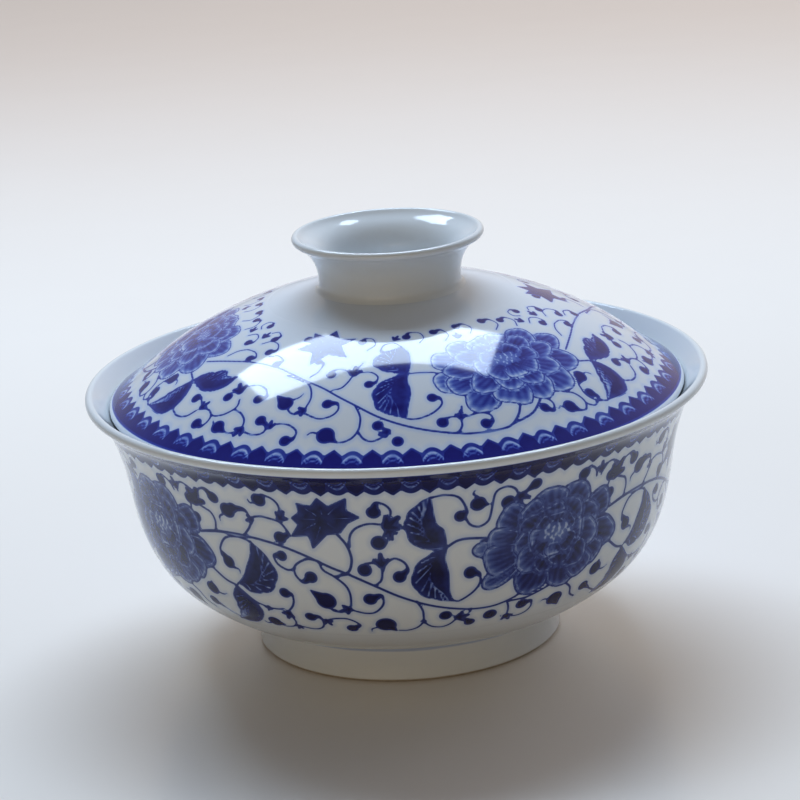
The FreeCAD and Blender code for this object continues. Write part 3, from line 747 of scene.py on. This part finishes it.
# painted vine of the lid, laid out like that of the bowl
lidPattern = {
    "repeats": 3, "columns": 280, "rows": 105, "up": (-0.45, 55.6), "brush": 0.52,
    "vines": [
        [(-65, 24.4), (-60, 26.4), (-55, 28), (-50, 29.3), (-44, 30), (-37, 29.6), (-32, 28.2), (-27, 26.3),
         (-20, 23.5), (-15, 20.6), (-10, 17.6), (-5, 14.4), (0, 11.9), (5, 10), (10, 8.6), (15, 7.6),
         (20, 7.4), (24, 7.9), (27, 10.3), (28.9, 13), (32, 16.3)],
        [(24.6, 8.2), (30, 9.7), (33, 11.8), (35, 13.6)],
        [(-73, 20.4), (-68, 20), (-62, 17.9)],
        [(3.4, 28.4), (6.2, 28.5), (10, 28.2), (12, 27.5)],
        [(-32, 27), (-28.5, 26.2), (-26, 25.2)],
    ],
    "sprigs": [
        [(-25.5, 25.7), (-23.2, 23.2), (-22.1, 20.5), (-22, 18.5), (-22.4, 16.4)],
        [(-23.2, 15), (-24.6, 14.4), (-26.1, 15.1), (-27.2, 16.4)],
        [(-17, 22.9), (-15.6, 23.2), (-14.4, 24), (-13.2, 26.1), (-12.4, 28.4)],
        [(-11.6, 31), (-10.8, 32.6), (-10, 34.2)],
        [(-10.2, 17.6), (-8.8, 14.6), (-8.6, 12), (-9.1, 9.9), (-10.5, 8.2), (-12.6, 7.4), (-14.2, 7.9)],
        [(-8.9, 10.3), (-7.6, 8.4), (-5.8, 7.7), (-3.8, 8.5), (-2.6, 9.8)],
        [(10.3, 8.4), (12.4, 8.4), (13.6, 9.8), (13.9, 11.4)],
        [(14, 12.4), (14.6, 13.8), (14.9, 15.2)],
        [(41.2, 13), (43.6, 11.7), (44.6, 9), (43.3, 7), (41.8, 7.2)],
        [(-59.1, 9.1), (-56.2, 8.2), (-53.2, 8.8), (-51.5, 10.8)],
        [(-46.4, 11), (-45, 10.8), (-42.4, 12), (-40.6, 14.4), (-41.2, 16.6)],
        [(-40.9, 13.5), (-38.5, 13), (-36.5, 11.4), (-35.9, 9.6)],
        [(-36.6, 8.3), (-38.4, 7.4), (-40.2, 7.6)],
        [(-69.4, 7), (-72.4, 8.2), (-73.7, 10.5), (-73.2, 13.2)],
    ],
    "tendrils": [
        ([(-22.4, 15.2), (-21.1, 14.5), (-18.2, 13.6), (-15.5, 14.5), (-14.2, 16.4), (-14.8, 18.3)],
         (-17.2, 18.1, 1.45)),
        ([(-13.2, 28.8), (-14.4, 30.5), (-16.7, 31.1), (-18.6, 30.4)], (-18.8, 28.7, 1.5)),
        ([(-11.4, 29.4), (-9.6, 29.9), (-7, 29.8), (-5.1, 27.9), (-5.6, 25.8)], (-7.4, 25, 1.4)),
        ([(-24.9, 27.2), (-23.2, 29.6), (-22.7, 33.2)], (-24.6, 34, 1.2)),
        ([(-2.6, 10.6), (-3.4, 11.4)], (-4.6, 11.7, 1.35)),
        ([(-2, 9.6), (-1.4, 8.4)], (-0.4, 7.4, 1.3)),
        ([(13.6, 12.2), (12, 12.6), (10.6, 12.2)], (9.6, 11.3, 1.4)),
        ([(14.2, 12.2), (15.9, 12.2), (18.3, 12.6), (20.6, 11.7), (20.6, 10)], (19, 9.5, 1.35)),
        ([(44.4, 8.4), (45.6, 7.4), (46.8, 7.3), (48.9, 8.6)], (47.8, 10.3, 1.4)),
        ([(35.2, 13.4), (36.6, 11.2), (35.6, 9.2)], (33.9, 10.4, 1.3)),
        ([(-50.8, 12.2), (-52, 13.4), (-53.2, 14.2)], (-54.7, 13.8, 1.4)),
        ([(-49.8, 12), (-47.8, 11.9), (-46.2, 10.8), (-45.9, 9.1), (-46.8, 7.6)], (-48.6, 7.9, 1.4)),
        ([(-42.6, 18.2), (-44, 18)], (-45.2, 16.6, 1.4)),
        ([(-42.9, 20), (-41.5, 21.2), (-38.5, 22), (-35.6, 21.1), (-34.2, 18.8)], (-36, 17.7, 1.45)),
        ([(-35.4, 8.6), (-32.6, 7.9), (-30.2, 8.8), (-30.4, 10.8)], (-32.2, 11.8, 1.4)),
        ([(-30, 9.6), (-28.8, 10.8), (-26.8, 11.6), (-24.6, 11.3), (-22.6, 9.9),
          (-22.8, 8)], (-24.4, 7.3, 1.35)),
        ([(1.8, 13.3), (3.9, 12.9), (7.7, 14.1), (10.4, 16.4), (10.4, 18.4)], (8.6, 18.9, 1.4)),
        ([(-59.6, 29), (-57.7, 32.2), (-54.2, 34.1), (-50, 33.7), (-48.2, 31.8)], (-50, 30.9, 1.5)),
        ([(-63.1, 39.5), (-60, 41.6), (-57, 40.4), (-56.4, 37.6)], (-58.4, 36.8, 1.6)),
        ([(-61.5, 44.6), (-64, 46.4), (-63.4, 49.4), (-60.4, 50)], (-59.4, 47.8, 1.7)),
        ([(-53.6, 44.6), (-51, 46.2), (-48, 44.4)], (-48.8, 42, 1.7)),
        ([(-51.9, 38.2), (-49, 40.6), (-45, 40), (-43, 37)], (-45.2, 35.4, 1.6)),
        ([(-43.5, 33.4), (-40.4, 34.6), (-37.4, 33)], (-38.4, 30.9, 1.5)),
        ([(2.6, 42), (0, 44.6), (-3.6, 43.6), (-4.6, 40.2)], (-2.4, 38.6, 1.6)),
        ([(-9.6, 40.6), (-7, 43.8), (-8.2, 47.6), (-11.2, 48)], (-12, 45.8, 1.7)),
        ([(9.4, 43.4), (11.6, 46.4), (10.6, 50), (6.4, 50.8)], (5, 48, 1.8)),
        ([(19, 42.6), (21.6, 46.2), (19.8, 50.2)], (16.4, 49.4, 1.8)),
        ([(30, 44), (32.6, 47.8), (30.4, 51.6)], (27, 50.6, 1.9)),
        ([(41, 42.6), (44.6, 45.6), (43.4, 50)], (39.8, 50.2, 1.9)),
        ([(50.6, 40.8), (52.8, 44.2), (50.8, 47.8)], (47.6, 47, 1.7)),
    ],
    "buds": [
        ((-28, 17.4), (-31.4, 19.6), 2.1, [(-26.6, 18.8), (-25.2, 19.6), (-24.4, 21)]),
        ((-70.4, 15.3), (-73.1, 13.4), 1.8, [(-68.8, 15.6), (-67.4, 15.4), (-66.6, 14.4)]),
        ((-15.8, 9.2), (-13.2, 7.5), 2.1, [(-17.6, 9.6), (-19, 9.8), (-20, 9)]),
        ((40, 8.9), (42, 7), 1.7, [(38.6, 9.2), (37.6, 9.6), (36.8, 9)]),
        ((-42.2, 8.4), (-39.6, 7.4), 1.7, [(-43.8, 8.8), (-44.6, 9.6)]),
        ((-34.4, 45.4), (-31.6, 43.6), 1.9),
    ],
    "nodes": [
        ((-22.6, 15.8), 1.8, 210), ((-12.1, 29.2), 2.6, 90), ((-2.4, 10.1), 1.7, 200),
        ((13.9, 12), 1.6, 80), ((-50.6, 12), 1.8, 60), ((-42.9, 19), 2.5, 130), ((-35.9, 8.9), 1.8, 240),
        ((-29.1, 10.4), 1.5, 100), ((-54.8, 41.6), 2.4, 90), ((-64.6, 42), 2.2, 120),
        ((0.4, 46.8), 2.2, 60), ((24.4, 43.6), 2.2, 80),
    ],
    "leaves": [
        ([(-62, 17.9), (-60, 20.8), (-56.8, 22.5), (-53.5, 24.1), (-51.5, 22.6), (-47.6, 23.4)],
         [(-62, 17.9), (-57.4, 16.6), (-54.4, 16.3), (-51.3, 17.2), (-48.6, 19.6), (-47.6, 23.4)]),
        ([(-62, 17.9), (-64.8, 13.4), (-66.6, 10.2), (-69.4, 7)],
         [(-62, 17.9), (-60, 15.6), (-58.9, 12.4), (-59.5, 9.2), (-62.4, 6.8), (-69.4, 7)]),
        ([(3.4, 28.4), (-0.4, 27.6), (-4.4, 24.9), (-5.9, 21.5), (-5.1, 17.4), (-3.2, 15.4), (1.8, 13.3)],
         [(3.4, 28.4), (3.1, 25.4), (3.5, 21.4), (2.5, 17), (1.8, 13.3)]),
        ([(3.4, 28.4), (-0.8, 29.4), (-4.8, 31.4), (-6.8, 34.6), (-4, 38.6), (2.6, 42)],
         [(3.4, 28.4), (4.4, 31.6), (4.9, 35.4), (4.6, 38.6), (2.6, 42)]),
    ],
    "star": [(-25.3, 53.1), (-21.9, 47.6), (-15.1, 47.9), (-19.9, 43.3), (-16.2, 37), (-22.8, 38.1),
             (-27, 32.7), (-28.7, 38.4), (-35.3, 39.2), (-31.3, 43.8), (-34.1, 49.8), (-27.9, 48.2)],
    "starHeart": (-25.6, 43),
    "peony": (33.6, 28.4), "rimTone": 0.2,
    "petals": [
        ((9, 22.6), 9, 0.3, 3), ((10, 33.4), 9, 0.3, 3), ((17, 13.4), 10, 0.35, 4, 0.03),
        ((57.8, 30.4), 10, 0.3, 4, 0.05), ((54.6, 20.4), 11, 0.3, 4, 0.05), ((46, 14), 12, 0.3, 4, 0.03),
        ((37, 12.6), 11, 0.25, 4, 0.03), ((27, 12.8), 12, 0.25, 5, 0.03),
        ((12.6, 20.6), 8, 0.35, 3, 0.04), ((18, 39), 12, 0.3, 4), ((28.4, 41), 13, 0.2, 5, 0.02),
        ((39.6, 40.8), 13, 0.2, 5, 0.04), ((50.6, 38.2), 12, 0.25, 4, 0.04),
        ((13.4, 27.4), 9, 0.2, 4, 0.05), ((19.8, 19), 9, 0.15, 4, 0.05),
        ((28.6, 17.4), 9.5, 0.1, 4, 0.04), ((38.4, 17.4), 9.5, 0.1, 4, 0.05),
        ((47.4, 20.6), 9.5, 0.12, 4, 0.05), ((52, 28.6), 9, 0.15, 4, 0.06),
        ((46.8, 35.4), 9, 0.12, 4, 0.07), ((36.8, 37.4), 9, 0.1, 4, 0.06), ((26.8, 37), 9, 0.1, 4, 0.06),
        ((18.6, 33.4), 8.5, 0.12, 4, 0.05), ((22.4, 26), 8, 0.05, 3, 0.02),
        ((26.4, 21.6), 7.5, 0.05, 3, 0.04), ((34.2, 20.4), 8, 0.05, 3), ((42, 22.8), 7.5, 0.05, 3, 0.06),
        ((45.6, 28.8), 7, 0.05, 3, 0.08), ((40.6, 33.8), 7, 0.05, 3, 0.09),
        ((31.8, 34.6), 7, 0.05, 3, 0.09), ((25.4, 31.6), 6.5, 0.05, 3, 0.08),
    ],
    "heart": (33.6, 28.6, 4.8, 2.4), "stamens": 17, "veins": bowlPattern["veins"],
    "border": {"count": 46, "first": 2.3, "edge": 5.75, "light": (1.75, 0.42), "thin": 0.22, "tone": 0.74,
               "end": 0.25, "up": -1},
}
lid = {
    "outer": [(69.5, 69.75), (64.2, 73.8), (56.9, 78.9), (49.0, 83.3), (40.9, 87.0), (32.8, 89.9),
              (25.0, 91.95), (18.9, 93.2)],
    "edgeCentre": (72.7, 66.15), "edgeRadius": 1.2, "edgeAngle": 53.0, "thickness": (2.4, 2.5),
    "seat": ((17, 12, 6, 0), 93.2), "under": ((0, 6, 12), 90.4), "underEdge": (16.0, 90.4), "columns": 384,
}
lidEdge = arcPoints(lid["edgeCentre"], lid["edgeRadius"], lid["edgeAngle"] - 180, lid["edgeAngle"], 22)
lidOuter = splineThrough(np.concatenate([lidEdge[-1:], lid["outer"]]), 80)
lidSide = innerSide(lidOuter, lid["thickness"], 0.05, 0.92)
lidInner = splineThrough(np.concatenate([lidEdge[:1], lidSide, [lid["underEdge"]]]), 80)[::-1]
lidSection = np.concatenate([level(*lid["under"]), lidInner, lidEdge[1:-1], lidOuter, level(*lid["seat"])])
place(turnedPiece("lid_shell", lidSection, lid["columns"]), lidGlazeSkyTinted, "lid", "lid_dome", "lid_glaze")
lidPaintLine = splineThrough(np.concatenate([lidEdge[-1:], lid["outer"]]), 600)
lidPaintLine = np.concatenate([lidEdge[-5:-1], lidPaintLine])
# the painted line starts a little before the edge's end, so places are counted from there
lidPattern["lead"] = float(riseAngles(lidPaintLine[:5])[-1])
place(paintedSkin("lid_painting", lidPaintLine, lidPattern), lidPaint, "lid", "lid_dome", "lid_glaze")
print("lid made")

knob = {
    "outer": [(20.4, 92.75), (19.2, 93.15), (18.35, 94.1), (18.2, 95.6), (18.45, 98.0), (19.15, 100.5),
              (20.6, 102.9), (22.5, 104.8)],
    "inner": [(22.2, 106.75), (19.4, 105.0), (17.0, 102.4), (15.9, 99.8), (15.4, 97.0), (14.9, 95.0),
              (13.6, 93.7), (11.6, 93.25)],
    "root": (11.6, 92.8), "lipCentre": (23.5, 106.6), "lipRadius": 1.0, "lipAngle": -50.0, "columns": 300,
}
knobLip = arcPoints(knob["lipCentre"], knob["lipRadius"], knob["lipAngle"], knob["lipAngle"] + 180, 18)
knobOuter = splineThrough(np.concatenate([knob["outer"], knobLip[:1]]), 50)
knobInner = splineThrough(np.concatenate([knobLip[-1:], knob["inner"]]), 50)
knobSection = np.concatenate([knobOuter, knobLip[1:-1], knobInner, [knob["root"]]])
knobPiece = turnedPiece("lid_knob", knobSection, knob["columns"])
place(knobPiece, plainGlaze, "lid", "lid_knob_ring", "knob_glaze")
print("knob made")


# plain floor, soft lamps, the air round them and the camera
studio = {
    "floor": (0.84, 0.79, 0.735), "floorShade": (0.781, 0.735, 0.684), "floorFar": (0.62, 0.505, 0.43),
    "farBetween": (0.25, 0.95), "floorReach": 5.0, "brightSide": (0.26, 0.93, 0.25),
    "air": [(0.0, (0.165, 0.146, 0.115)), (0.45, (0.135, 0.124, 0.102)), (0.62, (0.13, 0.142, 0.17)),
            (0.75, (0.20, 0.23, 0.29)), (0.87, (0.42, 0.43, 0.46)), (0.98, (0.70, 0.62, 0.55))],
    "target": (0.0, 0.0, 0.06), "distance": 0.801, "elevation": 17.19, "lens": 139.5, "roll": 3.39,
    "shift": (0.00275, 0.0109),
    "lamps": {  # place, aimed at, width, height, watts, colour, whether the glaze mirrors it
        "window": ((-0.12, 0.69, 1.165), (-0.12, 0, 0.09), 1.1, 0.445, 21.0, (0.64, 0.80, 1.0), True),
        "backLow": ((1.1, 1.4, 0.6), (0.2, 0.3, 0), 1.3, 0.7, 7.5, (0.97, 0.95, 1.0), False),
        "frontFill": ((-0.5, -1.7, 0.4), (0, 0, 0.02), 1.6, 0.5, 3.8, (1.0, 0.81, 0.59), True),
    },
}


# rectangular lamp whose face looks from its place to its target
def aimedLamp(name, at, target, width, height, watts, colour, mirrored):
    light = bpy.data.lights.new(name, "AREA")
    light.shape, light.size, light.size_y = "RECTANGLE", width, height
    light.energy, light.color = watts, colour
    lamp = added(name, light)
    lamp.location = at
    lamp.rotation_mode = "QUATERNION"
    lamp.rotation_quaternion = (Vector(target) - Vector(at)).to_track_quat("-Z", "Y")
    lamp.visible_glossy = mirrored


for name, values in studio["lamps"].items():
    aimedLamp(name, *values)


# studio air: its colour goes by how far a direction leans to the bright side, half the cosine plus a half
def studioAir():
    world = bpy.data.worlds.new("studioAir")
    air = Finish(world, "Background")
    way = air.node("ShaderNodeTexCoord").outputs["Generated"]
    lean = air.node("ShaderNodeVectorMath", {"operation": "DOT_PRODUCT"}, {0: way, 1: studio["brightSide"]})
    share = Wire(air, lean.outputs["Value"]) * 0.5 + 0.5
    air.give("Color", air.ramp(share, studio["air"]))
    return world


# pale table: two close tones drifting by noise, easing to a warmer one far behind the object
def paleTable():
    finish = Finish(bpy.data.materials.new("paleTable"))
    drift = finish.noise(bumps["table"]) * 0.5 + finish.noise(bumps["tableGrain"], 3.0) * 0.12
    near = finish.blend(drift, (*studio["floor"], 1), (*studio["floorShade"], 1))
    split = finish.node("ShaderNodeSeparateXYZ", None, {0: finish.places()})
    far = 1 - finish.below(Wire(finish, split.outputs["Y"]), *studio["farBetween"])
    finish.give("Base Color", finish.blend(far, near, (*studio["floorFar"], 1)))
    finish.give("Roughness", 0.2 + finish.noise(bumps["tableGloss"]) * 0.08)
    return finish.material


bpy.context.scene.world = studioAir()
wide = studio["floorReach"]
floorMesh = bpy.data.meshes.new("floor")
corners = [(-wide, -wide, 0), (wide, -wide, 0), (wide, wide, 0), (-wide, wide, 0)]
floorMesh.from_pydata(corners, [], [(0, 1, 2, 3)])
floor = added("floor", floorMesh)
floor.data.materials.append(paleTable())

# the camera looks down by its elevation at the target, turned about its own line of sight by its roll
lift, roll = math.radians(studio["elevation"]), math.radians(studio["roll"])
view = Vector((0, math.cos(lift), -math.sin(lift)))
right, up = Vector((1, 0, 0)), Vector((0, math.sin(lift), math.cos(lift)))
across = right * math.cos(roll) - up * math.sin(roll)
upward = right * math.sin(roll) + up * math.cos(roll)
turned = Matrix((across, upward, -view)).transposed().to_4x4()
camera = added("camera", bpy.data.cameras.new("camera"))
camera.matrix_world = Matrix.Translation(Vector(studio["target"]) - view * studio["distance"]) @ turned
camera.data.lens, camera.data.sensor_width = studio["lens"], 36
camera.data.shift_x, camera.data.shift_y = studio["shift"]
camera.data.clip_start, camera.data.clip_end = 0.05, 20
bpy.context.scene.camera = camera
bpy.context.scene.view_settings.view_transform = "Standard"  # the cobalt keeps its depth
print("studio ready")
